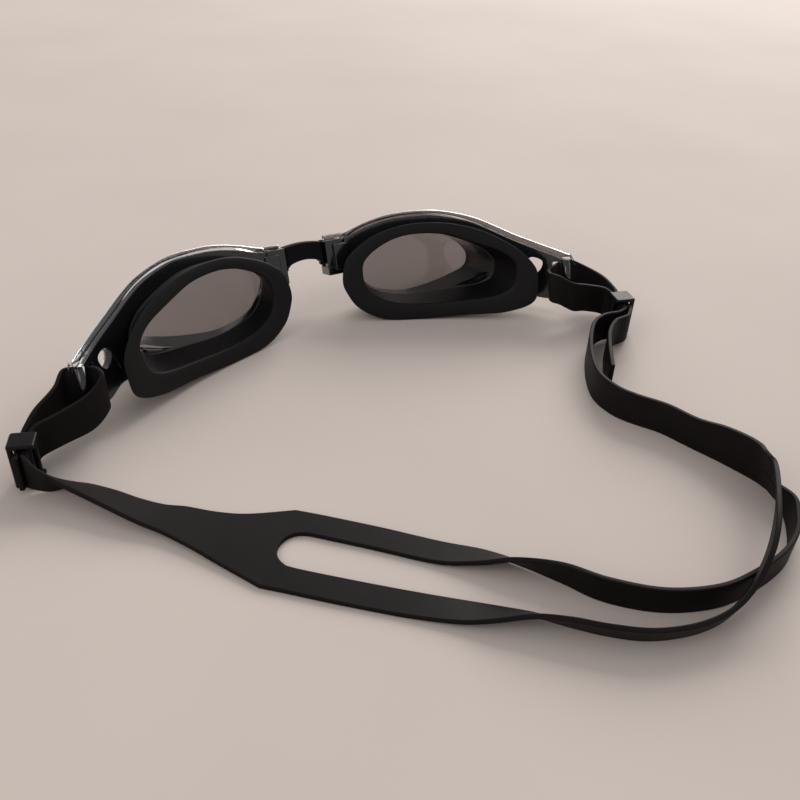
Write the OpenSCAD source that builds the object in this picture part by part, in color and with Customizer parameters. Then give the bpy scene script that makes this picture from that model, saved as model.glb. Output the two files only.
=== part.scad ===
// Swimming goggles laid on a table: two eye cups, a nose bridge and a split strap.
// Lengths are in millimetres, +Z is up, and the table is z = 0. The lenses look along +Y.
// The eye cups are drawn as they sit on a face, upright, and then leaned onto the table.

/* [Eye cups] */
// Half of the space between the two nose lugs
nose_half = 7.3; // [6.8:0.1:9]
// Thickness of the lens pane
lens_t = 2.4; // [1.6:0.1:2.6]
// Thickness of the clear skin round the cup and over the wing
skin_t = 1.2; // [0.8:0.1:1.2]
// Width of the clear lip that shows outside the black frame
lip_w = 1.5; // [0.5:0.1:2]
// Thickness of the black frame's plate and wing
plate_t = 2; // [1.2:0.1:2.2]
// Thickness of the black cup wall
wall_t = 1.2; // [0.8:0.1:1.4]
// Thickness of the black ring behind the lens pane
ring_t = 1.8; // [1:0.1:2.4]
// Height of the lens pane's back over the nose of the face flange
lens_back = 8.8; // [8.4:0.1:9]
// Clearance between the moulded pieces of one eye cup
fit_gap = 0.15; // [0.05:0.05:0.2]

/* [Gasket] */
// Thickness of the flange that touches the face
flange_t = 1.8; // [1.2:0.1:2.2]
// Thickness of the skirt between flange and frame
skirt_t = 1.6; // [1:0.1:2]
// Radius of the face curve that the flange follows
face_r = 150; // [145:1:160]

/* [Strap bar] */
// Diameter of the bar that the strap goes round
bar_d = 2.6; // [2:0.1:2.8]
// Clear width of the slot beside the bar
slot_w = 3.6; // [3.4:0.1:4]
// Thickness of the wing above and below the slot
rail_t = 1.6; // [1.2:0.1:2]
// How far the cups can ride up along the strap's loops
front_lift = 0.8; // [0.4:0.1:1]
// Clearance between the strap's edges and what guides them
edge_gap = 0.3; // [0.2:0.05:0.4]

/* [Nose bridge] */
// Diameter of the bridge's pins
pin_d = 3.8; // [3:0.1:4]
// Radial clearance of the pins in their sockets
pin_gap = 0.06; // [0.03:0.01:0.1]
// Depth of the bridge, front to back
bridge_d = 4.2; // [3.4:0.1:4.6]
// Thickness of the neck that joins a pin to the bridge
neck_t = 1.8; // [1.2:0.1:2]
// Height of the bridge's arch over the nose
arch_z = 9.1; // [8.5:0.1:10.5]

/* [Strap] */
// Thickness of the strap
strap_t = 1.3; // [1:0.1:1.5]
// Width of the strap at the buckles and loops
band_w = 10.2; // [9:0.1:10.6]
// Width of each of the two strands
strand_w = 7.4; // [6:0.1:8]
// Width of the slot between the two strands at its flat left end
split_w = 11.6; // [10:0.1:12]
// Width of the slot between the two strands at its right end
closed_w = 1.2; // [1:0.1:1.6]

/* [Buckles] */
// Height of each buckle
buckle_h = 13.4; // [13:0.1:14.4]
// Length of each buckle along the strap
buckle_l = 6.6; // [6:0.1:7]
// Diameter of the buckle's cross bars
rung_d = 1.6; // [1.4:0.1:1.8]
// Gap between the strap's two layers in the buckle
layer_gap = 0.5; // [0.3:0.1:0.6]

/* [Laid on the table] */
// Lean of the eye cups onto their front edges
rest_pitch = 19.2; // [18.8:0.1:19.6]
// Height of the flange's nose line over the table
nose_height = 13.65; // [13.65:0.05:14]
// Shift of the whole object to the right of its origin
origin_x = 4.06; // [-5:0.01:10]
// Shift of the whole object forward of its origin
origin_y = 72.91; // [60:0.01:90]

/* [Hidden] */
// Each node is one moulded piece

// Points on each smooth outline between two chosen points
steps = 5;
eps = 0.01;

// The flange lies on an upright cylinder about this line
face_c = [-20, 3 - face_r];
// The frame's plate and wing lie on a tighter cylinder about this line, with its front at plate_front
plate_r = 85;
plate_front = 8;
plate_c = [14, plate_front - plate_r];
// The pane is flat as far as pane_x, and then turns back with this radius
pane_x = 53;
pane_r = 24;
pane_front = lens_back + lens_t;
pane_gap = 0.2;

// Outlines of the right eye cup, [x, z], starting at the nose and going over the top
flange_out = [[9.3, 1], [10.7, 6.4], [13.6, 9.9], [19.4, 13.3], [27.6, 16], [36, 16.6], [46.5, 15], [56, 11],
              [64.5, 4.6], [69.5, -2.5], [70.1, -8.5], [68.3, -15.2], [60, -17.8], [48, -17.2], [34, -16.6],
              [21.5, -14.6], [13.5, -9.4], [9.9, -3]];
flange_in = [[16.4, 1], [16.9, 5], [18.9, 7.6], [23.2, 10.4], [28.8, 12.4], [35.5, 12.9], [44, 11.5], [52.5, 7.6],
             [60, 3.6], [63.8, -0.6], [64.1, -4.5], [62.6, -9.2], [57.5, -11.6], [47, -11.8], [34.5, -11.2],
             [24.8, -9], [19, -5.6], [16.8, -2.2]];
window = [[17.9, 2.6], [17, 5.6], [19, 8.4], [23.4, 10.8], [29.5, 12.4], [36.5, 12.9], [44.5, 12.2], [52, 9.8],
          [58, 6.2], [61.2, 2.4], [61.8, -0.6], [60.4, -3.6], [56.5, -5.3], [47.5, -7.1], [36, -7.9],
          [27.5, -6.1], [22.6, -3.7], [19.7, -0.4]];
lens_out = [[13.95, 7], [14.6, 12.2], [20, 15.9], [28, 17.8], [36, 18.5], [44, 18], [50, 16.9], [56, 14.6],
            [62, 11], [66.5, 6], [67.3, 0], [64.5, -4.8], [60, -7.2], [52, -9.6], [42, -10.2], [32, -9.8],
            [24, -7.6], [18.3, -3.8], [14.9, 1.5]];
plate_out = [[12.6, 3], [12.3, 9.5], [13.4, 14.8], [17, 16.2], [23, 18], [30, 19.3], [37, 19.6], [45, 19.2],
             [51.5, 17.7], [58.5, 15], [64, 11.6], [70, 7.3], [75, 4], [79.2, 1.2], [82.2, -0.9]];
slot_top = -2.9;
slot_l = band_w + front_lift + 2 * edge_gap;
slot_low = slot_top - slot_l;
plate_low = [[78.4, slot_low - 1.5], [74.8, slot_low - 0.5], [70.5, -12.6], [64, -12.4], [54, -12.6], [44, -12.4],
             [34, -11.2], [26, -10.4], [19.5, -8], [15, -3.5]];
wing_hole = [[72.2, -2.6], [74, -0.8], [76.4, -2.2], [76.2, -4.6], [74.8, -6.4], [73, -5.2]];
dot_hole = [70.7, -7.7];
dot_d = 1;

// The strap bar stands in the middle of the plate, at an angle round the plate's cylinder
bar_z = slot_top - slot_l / 2;
bar_x = 81.7;
bar_r = plate_r - plate_t / 2;
bar_a = asin((bar_x - plate_c[0]) / bar_r);
bar_xy = plate_c + bar_r * [sin(bar_a), cos(bar_a)];
wing_end = bar_xy[0] + bar_d;

// Nose lug and bridge
pin_xy = [nose_half + 2.9, 10.4];
lug_x = [nose_half, 13.6];
lug_y = [6.6, 13.2];
lug_z = [2.4, 14.3];
pin_z = [5.6, 14.1];
neck_gap = 0.35;
bridge_top = 14.7;
bridge_foot = 6.2;

// A smooth closed outline through the chosen points
function curve(a, b, c, d, t) =
    0.5 * (2 * b + (c - a) * t + (2 * a - 5 * b + 4 * c - d) * t * t + (3 * b - a - 3 * c + d) * t * t * t);
function closed(p) =
    let (n = len(p))
    [for (i = [0:n - 1]) for (j = [0:steps - 1])
        curve(p[(i + n - 1) % n], p[i], p[(i + 1) % n], p[(i + 2) % n], j / steps)];
// A smooth open line through the chosen points, with its two ends
function open(p, k) =
    let (n = len(p))
    [for (i = [0:n - 2]) for (j = [0:k - 1])
        curve(p[max(i - 1, 0)], p[i], p[i + 1], p[min(i + 2, n - 1)], j / k), p[n - 1]];
function unit(v) = v / norm(v);
// The same outline moved outward by d, for outlines that run clockwise
function outset(p, d) =
    let (n = len(p))
    [for (i = [0:n - 1])
        let (t = unit(p[(i + 1) % n] - p[(i + n - 1) % n]))
        p[i] + d * [-t[1], t[0]]];

// Depth of the face curve and of the plate's back over x
function face_y(x) = face_c[1] + sqrt(face_r * face_r - pow(x - face_c[0], 2));
function back_y(x, d) = plate_c[1] + sqrt(pow(plate_r - plate_t - d, 2) - pow(x - plate_c[0], 2));
// Depth of the back of the lens pane over x
function pane_y(x) =
    x < pane_x ? lens_back : pane_front - pane_r + sqrt(pow(pane_r - lens_t, 2) - pow(x - pane_x, 2));

// Points on the cup's inner wall between the flange's opening, s = 0, and the window, s = 1
face_ring = closed(flange_in);
pane_ring = closed(window);
rim_ring = closed(flange_out);
count = len(face_ring);
function wall(i, s) =
    let (a = [face_ring[i][0], face_y(face_ring[i][0]), face_ring[i][1]],
         b = [pane_ring[i][0], pane_y(pane_ring[i][0]) - pane_gap, pane_ring[i][1]])
    a + (b - a) * s;
// The share s at which that wall meets the back of the plate, or a surface d behind it
function seat_s(i, d, s = 0.6, n = 5) =
    n == 0 ? s :
    let (p = wall(i, s), a = wall(i, 0), b = wall(i, 1))
    seat_s(i, d, (back_y(p[0], d) - a[1]) / (b[1] - a[1]), n - 1);
function side(p, i) =
    let (n = len(p), t = unit(p[(i + 1) % n] - p[(i + n - 1) % n]))
    [-t[1], 0, t[0]];
// Distance from a point to an outline round it, in the direction d
function reach(o, p, d) =
    min([for (i = [0:len(o) - 1])
        let (a = o[i] - p, e = o[(i + 1) % len(o)] - o[i], k = cross(d, e), t = cross(a, e) / k)
        if (t > 0 && cross(a, d) / k >= 0 && cross(a, d) / k <= 1) t]);

// A closed ring whose section at each station is a list of points
module ring(sections) {
    n = len(sections);
    m = len(sections[0]);
    polyhedron(
        points = [for (s = sections) for (p = s) p],
        faces = [for (i = [0:n - 1]) for (j = [0:m - 1]) for (h = [0, 1])
            let (a = i * m + j, b = i * m + (j + 1) % m,
                 c = ((i + 1) % n) * m + (j + 1) % m, d = ((i + 1) % n) * m + j)
            h == 0 ? [a, c, b] : [a, d, c]]);
}

// An outline in x and z stood up as a prism along y
module slab(outline, y0 = -60, y1 = 30) {
    translate([0, y1, 0]) rotate([90, 0, 0]) linear_extrude(y1 - y0) polygon(outline);
}

// The upright cylinder of the plate, cut back by d
module drum(d) {
    translate([plate_c[0], plate_c[1], -30]) cylinder(r = plate_r - d, h = 60, $fn = 180);
}

// Everything behind the lens pane's front, cut back by d
module behind_pane(d) {
    translate([0, -60, -25]) cube([pane_x, 60 + pane_front - d, 50]);
    translate([pane_x, pane_front - pane_r, -25]) cylinder(r = pane_r - d, h = 50, $fn = 120);
}

// The wing's slot, with the space that the bar stands in
module slot_cut(extra = 0) {
    translate([plate_c[0], plate_c[1], slot_low - extra])
        rotate([0, 0, -bar_a])
            translate([-bar_d / 2 - slot_w, plate_r - plate_t - 3, 0])
                cube([slot_w + bar_d + 6, plate_t + skin_t + 6, slot_l + 2 * extra]);
}

// Everything past the outer side of the bar
module end_cut() {
    translate([plate_c[0], plate_c[1], -30]) rotate([0, 0, -bar_a])
        translate([bar_d / 2, 40, 0]) cube([30, 60, 60]);
}

module wing_holes() {
    slab(closed(wing_hole), -40, 0);
    translate([dot_hole[0], 0, dot_hole[1]]) rotate([90, 0, 0]) cylinder(d = dot_d, h = 40, $fn = 24);
}

// Outline of plate and wing, with its upper edge drawn in by d and its square end at the bar
function plate_line(d) =
    concat(open(inset_open(plate_out, d), steps),
           [[wing_end, slot_top + rail_t - d / 3 - 0.8], [wing_end, slot_low - rail_t + 2.4],
            [wing_end - 1.6, slot_low - rail_t + 0.5], [wing_end - 3, slot_low - rail_t]],
           open(plate_low, steps));
function inset_open(p, d) =
    let (n = len(p))
    [for (i = [0:n - 1])
        let (t = unit(p[min(i + 1, n - 1)] - p[max(i - 1, 0)]))
        p[i] - d * [-t[1], t[0]]];

// Black frame: plate and wing, cup wall, ring behind the lens, nose lug and strap bar
module frame() {
    hole = [for (i = [0:count - 1])
        let (p = wall(i, seat_s(i, -plate_t / 2)) + side(pane_ring, i) * wall_t / 2) [p[0], p[2]]];
    difference() {
        intersection() {
            difference() {
                drum(0);
                drum(plate_t);
            }
            slab(plate_line(lip_w));
        }
        slab(hole);
        slot_cut();
        end_cut();
        wing_holes();
    }
    cup_wall();
    nose_lug();
    translate([bar_xy[0], bar_xy[1], slot_low - eps])
        cylinder(d = bar_d, h = slot_l + 2 * eps, $fn = 48);
}

// Cup wall from inside the plate to the pane, with the ring that stands out behind the pane
module cup_wall() {
    lens_inner = outset(closed(lens_out), -skin_t - fit_gap);
    ring([for (i = [0:count - 1])
        let (a = wall(i, seat_s(i, -plate_t / 5)), b = wall(i, 1), n = side(pane_ring, i),
             f = b + n * reach(lens_inner, pane_ring[i], [n[0], n[2]]),
             rim = [f[0], pane_y(f[0]) - pane_gap, f[2]],
             back = wall(i, 1 - ring_t / (b[1] - wall(i, 0)[1])))
        [a, b, rim, rim - [0, ring_t, 0], back + n * wall_t, a + n * wall_t]]);
}

// Socket block for the bridge's pin, open towards the nose
module nose_lug() {
    difference() {
        translate([lug_x[0], lug_y[0], lug_z[0]])
            cube([lug_x[1] - lug_x[0], lug_y[1] - lug_y[0], lug_z[1] - lug_z[0]]);
        translate([pin_xy[0], pin_xy[1], pin_z[0] - edge_gap])
            cylinder(r = pin_d / 2 + pin_gap, h = 12, $fn = 64);
        translate([lug_x[0] - 1, pin_xy[1] - neck_t / 2 - neck_gap, pin_z[0] - edge_gap])
            cube([pin_xy[0] - lug_x[0] + 1, neck_t + 2 * neck_gap, 12]);
    }
    translate([lug_x[0] + 2.5, lug_y[0] - 1.2, lug_z[0] + 1.5])
        cube([lug_x[1] - lug_x[0] - 1, 2, lug_z[1] - lug_z[0] - 3]);
}

// The space of the cup wall behind the pane, with its clearance
module wall_space() {
    ring([for (i = [0:count - 1])
        let (s = seat_s(i, 0) - 0.1, a = wall(i, s), b = wall(i, 1), n = side(pane_ring, i),
             w = wall_t + fit_gap, q = b + n * w, inner = b - n * 2)
        [a - n * 2, [inner[0], pane_y(inner[0]) - eps, inner[2]], [q[0], pane_y(q[0]) - eps, q[2]], a + n * w]]);
}

// Clear shell: pane, side wall, skin over the wing and a lip over the nose lug
module lens() {
    difference() {
        intersection() {
            slab(closed(lens_out));
            behind_pane(0);
        }
        intersection() {
            slab(outset(closed(lens_out), -skin_t));
            behind_pane(lens_t);
        }
        drum(-skin_t / 2);
        wall_space();
    }
    difference() {
        intersection() {
            difference() {
                drum(-skin_t - fit_gap);
                drum(-fit_gap);
            }
            slab(plate_line(0));
        }
        slab(outset(closed(lens_out), -skin_t));
        wall_space();
        slot_cut(rail_t - 0.4);
        end_cut();
        translate([0, -30, -30]) cube([lug_x[1] + fit_gap, 60, 60]);
        wing_holes();
    }
    translate([lug_x[0] + 1.2, lug_y[0] + 2, lug_z[1] + fit_gap])
        cube([8, lug_y[1] - lug_y[0] - 3, 1.2]);
}

// Soft gasket: a flange on the face curve and a skirt up to the plate
module gasket() {
    ring([for (i = [0:count - 1])
        let (s = seat_s(i, fit_gap),
             o = [rim_ring[i][0], face_y(rim_ring[i][0]), rim_ring[i][1]],
             a = wall(i, 0),
             b = wall(i, s),
             n = side(pane_ring, i) * skirt_t,
             e = [b[0] + n[0], back_y(b[0] + n[0], fit_gap), b[2] + n[2]],
             c = a + [0, flange_t, 0] + (b - a) * 0.1 + side(face_ring, i) * skirt_t)
        [a, b, e, c, o + [0, flange_t, 0] - side(rim_ring, i) * 0.5, o + [0, 0.4, 0]]]);
}

// Bridge over the nose, with a pin at each end
module bridge() {
    foot = lug_x[0] - 0.4;
    outline = concat(
        open([[-foot, bridge_foot], [-4.8, arch_z - 0.9], [0, arch_z], [4.8, arch_z - 0.9], [foot, bridge_foot]], 6),
        open([[foot, bridge_top - 0.5], [3.5, bridge_top], [0, bridge_top + 0.2], [-3.5, bridge_top],
              [-foot, bridge_top - 0.5]], 4));
    slab(outline, pin_xy[1] - bridge_d / 2, pin_xy[1] + bridge_d / 2);
    for (s = [-1, 1]) {
        translate([s * pin_xy[0], pin_xy[1], pin_z[0]]) cylinder(d = pin_d, h = pin_z[1] - pin_z[0], $fn = 64);
        translate([min(s * (foot - 1), s * pin_xy[0]), pin_xy[1] - neck_t / 2, bridge_foot])
            cube([pin_xy[0] - foot + 1, neck_t, pin_z[1] - bridge_foot]);
    }
}

// Puts upright pieces where they lie on the table
module worn() {
    laid() translate([0, 0, nose_height]) rotate([-rest_pitch, 0, 0]) children();
}
module laid() {
    translate([origin_x, origin_y, 0]) children();
}
// The same move for a point
function worn_pt(p) =
    [p[0], p[1] * cos(rest_pitch) + p[2] * sin(rest_pitch),
     nose_height - p[1] * sin(rest_pitch) + p[2] * cos(rest_pitch)];

// Strap stations: [x, y, z of the middle, direction across the strap, width]
up = [0, 0, 1];
bar_up = [0, sin(rest_pitch), cos(rest_pitch)];
between = unit(up + bar_up);
loop_z = slot_top - edge_gap - band_w / 2;
half_t = strap_t / 2;
layer = (strap_t + layer_gap) / 2;
// A station at a chosen place beside the right bar, and how much it is raised there
function at_bar(dx, dy, dz = 0, u = bar_up) =
    let (m = worn_pt([bar_xy[0] + dx, bar_xy[1] + dy, loop_z])) concat([m[0], m[1], m[2] + dz], u, [band_w]);
// A station with its middle dz over the strap's middle when that stands on edge on the table
function st(x, y, dz, u, w = band_w) = concat([x, y, band_w / 2 + dz], u, [w]);

// Stations round a bar, from the back of the wing through its slot to the front; the right loop is wider
bar_front = [at_bar(-1.5, 2.2), at_bar(1.1, 4), at_bar(4.2, 4)];
left_loop = concat([at_bar(-4.6, -3.4, -2.6, between), at_bar(-4.3, -0.4, -0.6)], bar_front);
right_loop = concat([at_bar(-7, -6, -3.2, between), at_bar(-8.9, -3.4, -2), at_bar(-7.8, -0.8, -1),
                     at_bar(-4.6, 0.3, -0.2)], bar_front);

// Middle of each buckle, and how far the strap has turned inward there
buckle_right_at = [92.4, -45.8];
buckle_right_turn = 14;
buckle_left_at = [100.4, -43.6];
buckle_left_turn = -18;
// A station in a buckle: along the strap away from the loop, and out from the head
function in_buckle(b, turn, along, out) =
    [b[0] - along * sin(turn) + out * cos(turn), b[1] - along * cos(turn) - out * sin(turn), buckle_h / 2,
     0, 0, 1, band_w];
// Where the strap lies straight in a buckle, from end to end
straight = buckle_l / 2 + 1.6;
straight_at = [straight, straight - 1.3, 0, 1.3 - straight, -straight];

// Direction across the strap where it leans in by an angle; the way it leans is counted from the right
function leaning(angle, way) = [cos(way) * sin(angle), sin(way) * sin(angle), cos(angle)];
// A station of the wide right end, which stands on its lower edge and leans in
right_way = 170;
function on_foot(x, y, w, angle) =
    let (u = leaning(angle, right_way)) concat([x, y, half_t * sin(angle)] + u * w / 2, u, [w]);

// Right side, from the wide end of the strap through the buckle and the loop to the tail
right_end = concat(
    [on_foot(73.9, -127.6, 14.2, 14), on_foot(72.8, -122.4, 13, 7), on_foot(70.8, -115.4, 11.8, 2),
     st(68.2, -107.8, 0, up), st(65.2, -98.8, 0, up), st(60.3, -90.8, 0, up), st(58.1, -84.7, 0, up),
     st(58.4, -76.7, 0, up), st(63, -67.5, 0, up), st(69.6, -58.6, 0.3, up), st(76, -52.4, 0.7, up),
     st(81.6, -50.6, 1.1, up), st(86.8, -51.6, 1.5, up)],
    [for (i = straight_at) in_buckle(buckle_right_at, buckle_right_turn, i, -layer)],
    [st(91.4, -37.6, 2.6, up), st(85, -36.2, 4.4, up), st(79.2, -36, 5.9, between)],
    right_loop,
    [st(89.8, -26, 6.6, between), st(94.6, -31.6, 4, up), st(95.4, -37.6, 2.2, up)],
    [for (i = straight_at) in_buckle(buckle_right_at, buckle_right_turn, -i, layer)],
    [st(88, -54.6, 1.4, up), st(82.6, -55.2, 1.1, up), st(77, -59, 0.7, up), st(71.8, -65.2, 0.3, up),
     st(67.3, -71.5, 0.1, up), st(64.2, -76, 0.1, up)]);

// Left side, drawn on the right and then mirrored, from the flat paddle to the short tail
left_end = concat(
    [st(60.7, -88.1, -4.2, [0.66, -0.75, 0.02], 18.2), st(66.4, -82.1, -3.96, [0.7, -0.71, 0.07], 14),
     st(72, -75.8, -3.65, [0.743, -0.654, 0.139], 11.6), st(76.4, -72, -3.3, [0.73, -0.64, 0.24], 10.4),
     st(81, -67, -2.7, [0.69, -0.62, 0.37]), st(86.3, -60.4, -2.1, [0.66, -0.58, 0.47]),
     st(92.6, -53.8, -1.3, [0.56, -0.5, 0.66]), st(98, -51.2, 0, [0.25, -0.2, 0.93])],
    [for (i = straight_at) in_buckle(buckle_left_at, buckle_left_turn, i, -layer)],
    [st(96.2, -37.6, 2.4, up), st(90, -36.4, 3.6, up), st(82, -35, 5.6, between)],
    left_loop,
    [st(89, -28, 6.4, up), st(95, -32.8, 4.2, up), st(98.2, -36.6, 2.6, up)],
    [for (i = [-straight, 1.3 - straight, 0, straight - 1.3, straight + 1.4])
        in_buckle(buckle_left_at, buckle_left_turn, i, layer)]);

// A strand station that stands at an angle, 0 flat and 90 on edge, with its near edge up, raised by dz
function lean(p, b, dir, dz = 0) =
    concat([p[0], p[1], half_t * cos(b) + strand_w / 2 * sin(b) + dz],
           [sin(dir) * cos(b), -cos(dir) * cos(b), sin(b)], [strand_w]);

// An end of the split: [middle of the strap there, way to the tip, direction across, width, length];
// the strap lies flat on the left, and stands and leans in on the right
paddle_turn = -40.9;
split_l = [[-47.8, -98.8, half_t], [-cos(paddle_turn), -sin(paddle_turn), 0],
           [sin(paddle_turn), -cos(paddle_turn), 0], split_w, split_w / 2];
right_lean = 22;
split_r = [[72.6, -136, half_t * sin(right_lean)] + leaning(right_lean, right_way) * (closed_w / 2 + strand_w),
           unit([0.3, 0.95, 0]), leaning(right_lean, right_way), closed_w, 4.6];
// Stations of one strand from the tip of the split to where its full width begins
function split_end(e, sign) =
    [for (a = [15, 35, 60, 90])
        let (in = e[3] / 2 * sin(a), half = e[3] / 2 + strand_w)
        concat(e[0] + e[1] * e[4] * cos(a) + e[2] * sign * (half + in) / 2, e[2], [half - in])];
function tip(e) = concat(e[0] + e[1] * e[4], e[2], [e[3] + 2 * strand_w]);
function strand(sign, middle) =
    concat(split_end(split_l, sign), middle, [for (i = [3:-1:0]) split_end(split_r, sign)[i]]);

// Strands from the left end of the split to the right; the inner one lies nearer the lenses
inner_strand = strand(-1,
    [lean([-37.4, -95.4], 0, paddle_turn), lean([-29, -103.2], 0, -43),
     lean([-18.2, -113.8], 3, -43), lean([-10.8, -120.1], 20, -42), lean([-4.5, -126.2], 50, -44),
     lean([2.6, -134.4], 78, -50), lean([8.4, -142.8], 90, -50), lean([18, -151], 90, -30),
     lean([30, -155.6], 90, -12), lean([41, -155.9], 90, 2), lean([52, -154.2], 90, 16),
     lean([60, -150.8], 88, 34), lean([65.6, -146.2], 86, 48), lean([69.6, -141.4], 85, 64)]);
outer_strand = strand(1,
    [lean([-44.8, -114.2], 0, -41), lean([-34, -123.4], 0, -40), lean([-23.6, -131.9], 8, -39),
     lean([-17, -136.9], 25, -38), lean([-10.5, -141.4], 45, -42), lean([-4.5, -146.8], 58, -44),
     lean([1.4, -152.2], 62, -38), lean([9, -157.4], 64, -26), lean([18.4, -160.4], 66, -10),
     lean([27.4, -161], 70, 4, 0.6), lean([34.8, -159.8], 76, 16, 3.4), lean([41.4, -157], 82, 24, 6.8),
     concat([47.6, -153, 12.8], up, [strand_w]), concat([55, -147, 13.6], leaning(12, 160), [strand_w]),
     concat([63, -140.2, 12.8], leaning(20, 160), [strand_w])]);

// Corners of the strap's section at each station of a path, low edge first; none under the table
function above(p) = [p[0], p[1], max(p[2], 0)];
function corners(p, i) =
    let (n = len(p),
         a = p[max(i - 1, 0)], b = p[min(i + 1, n - 1)],
         d = unit([b[0] - a[0], b[1] - a[1], b[2] - a[2]]),
         u = unit([p[i][3], p[i][4], p[i][5]]) * p[i][6] / 2,
         v = unit(cross(d, u)) * half_t,
         c = [p[i][0], p[i][1], p[i][2]])
    [above(c - u - v), above(c + u - v), above(c + u + v), above(c - u + v)];
// Strap stations between two chosen ones
strap_steps = 3;
function strip(path) = let (p = open(path, strap_steps)) [for (i = [0:len(p) - 1]) corners(p, i)];
function join4(a, b) =
    [for (j = [0:3]) for (h = [0, 1])
        let (c = (j + 1) % 4) h == 0 ? [a[j], b[j], b[c]] : [a[j], b[c], a[c]]];
function ids(start, i) = [for (j = [0:3]) start + 4 * i + j];

// Faces between a plain station and a tip of the split, whose long edges have a mid point each
function to_tip(c, t, m) =
    [[c[0], t[0], m[0]], [c[0], m[0], c[1]], [c[1], m[0], t[1]], [c[1], t[1], t[2]], [c[1], t[2], c[2]],
     [c[2], t[2], m[1]], [c[2], m[1], c[3]], [c[3], m[1], t[3]], [c[3], t[3], t[0]], [c[3], t[0], c[0]]];
function from_tip(t, c, m) =
    [[t[0], c[0], m[0]], [m[0], c[0], c[1]], [m[0], c[1], t[1]], [t[1], c[1], c[2]], [t[1], c[2], t[2]],
     [t[2], c[2], m[1]], [m[1], c[2], c[3]], [m[1], c[3], t[3]], [t[3], c[3], c[0]], [t[3], c[0], t[0]]];
function run(start, first, last) =
    [for (i = [first:last - 1]) for (f = join4(ids(start, i), ids(start, i + 1))) f];

// Whole strap as one closed skin: both ends, and two strands that part at the tips of the split
module strap_all() {
    left_path = [for (q = left_end) [-q[0], q[1], q[2], -q[3], q[4], q[5], q[6]]];
    parts = [strip(concat([for (i = [len(left_path) - 1:-1:0]) left_path[i]], [tip(split_l)])),
             strip(concat([tip(split_r)], right_end)),
             strip(inner_strand),
             strip(outer_strand)];
    n = [for (q = parts) len(q)];
    // First corner of each part, and then the mid points of the two tips
    at = [0, 4 * n[0], 4 * (n[0] + n[1]), 4 * (n[0] + n[1] + n[2]), 4 * (n[0] + n[1] + n[2] + n[3])];
    l = parts[0][n[0] - 1];
    r = parts[1][0];
    tl = ids(at[0], n[0] - 1);
    tr = ids(at[1], 0);
    ml = [at[4], at[4] + 1];
    mr = [at[4] + 2, at[4] + 3];
    polyhedron(
        points = concat([for (q = parts) for (c = q) for (e = c) e],
                        [(l[0] + l[1]) / 2, (l[2] + l[3]) / 2, (r[0] + r[1]) / 2, (r[2] + r[3]) / 2]),
        faces = concat(
            [[0, 1, 2], [0, 2, 3]],
            run(at[0], 0, n[0] - 2),
            to_tip(ids(at[0], n[0] - 2), tl, ml),
            join4([tl[0], ml[0], ml[1], tl[3]], ids(at[2], 0)),
            run(at[2], 0, n[2] - 1),
            join4(ids(at[2], n[2] - 1), [tr[0], mr[0], mr[1], tr[3]]),
            join4([ml[0], tl[1], tl[2], ml[1]], ids(at[3], 0)),
            run(at[3], 0, n[3] - 1),
            join4(ids(at[3], n[3] - 1), [mr[0], tr[1], tr[2], mr[1]]),
            from_tip(tr, ids(at[1], 1), mr),
            run(at[1], 1, n[1] - 1),
            [[at[2] - 4, at[2] - 2, at[2] - 3], [at[2] - 4, at[2] - 1, at[2] - 2]]));
}

// Slide buckle: two rails over the strap's edges, two bars outside and one inside the layers
module buckle() {
    gap = strap_t + layer_gap / 2 + edge_gap;
    rail_h = (buckle_h - band_w) / 2 - edge_gap;
    half_x = gap + rung_d;
    for (z = [0, buckle_h - rail_h]) translate([0, 0, z]) rounded_plate(half_x, buckle_l / 2, rail_h);
    for (y = [-1, 1])
        translate([gap + rung_d / 2, y * (buckle_l - rung_d) / 2, 0])
            cylinder(d = rung_d, h = buckle_h, $fn = 40);
    translate([-gap - rung_d / 2, 0, 0]) cylinder(d = rung_d, h = buckle_h, $fn = 40);
}
module rounded_plate(x, y, h) {
    r = rung_d / 2;
    translate([-x, r - y, 0]) cube([2 * x, 2 * y - 2 * r, h]);
    translate([r - x, -y, 0]) cube([2 * x - 2 * r, 2 * y, h]);
    for (i = [-1, 1]) for (j = [-1, 1])
        translate([i * (x - r), j * (y - r), 0]) cylinder(r = r, h = h, $fn = 40);
}
module buckle_at(b, turn) {
    translate([b[0], b[1], 0]) rotate([0, 0, -turn]) buckle();
}

module lens_left() { color([0.25, 0.24, 0.22, 0.6]) worn() mirror([1, 0, 0]) lens(); }
module lens_right() { color([0.25, 0.24, 0.22, 0.6]) worn() lens(); }
module frame_left() { color([0.06, 0.06, 0.07]) worn() mirror([1, 0, 0]) frame(); }
module frame_right() { color([0.06, 0.06, 0.07]) worn() frame(); }
module gasket_left() { color([0.12, 0.12, 0.12]) worn() mirror([1, 0, 0]) gasket(); }
module gasket_right() { color([0.12, 0.12, 0.12]) worn() gasket(); }
module nose_bridge() { color([0.08, 0.08, 0.08]) worn() bridge(); }
module strap() { color([0.14, 0.13, 0.13]) laid() strap_all(); }
module buckle_left() {
    color([0.09, 0.09, 0.09]) laid() mirror([1, 0, 0]) buckle_at(buckle_left_at, buckle_left_turn);
}
module buckle_right() { color([0.09, 0.09, 0.09]) laid() buckle_at(buckle_right_at, buckle_right_turn); }

lens_left();
lens_right();
frame_left();
frame_right();
gasket_left();
gasket_right();
nose_bridge();
strap();
buckle_left();
buckle_right();
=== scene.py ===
"""Swimming goggles laid on a table: tinted lenses, black frames, soft gaskets, nose bridge and split strap.

Lengths in the shape functions are millimetres, as in the part's source. laid() and worn() turn them
into metres in the row frame.
"""

import math

import bmesh
import bpy
import numpy as np
from mathutils import Matrix, Vector


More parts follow.
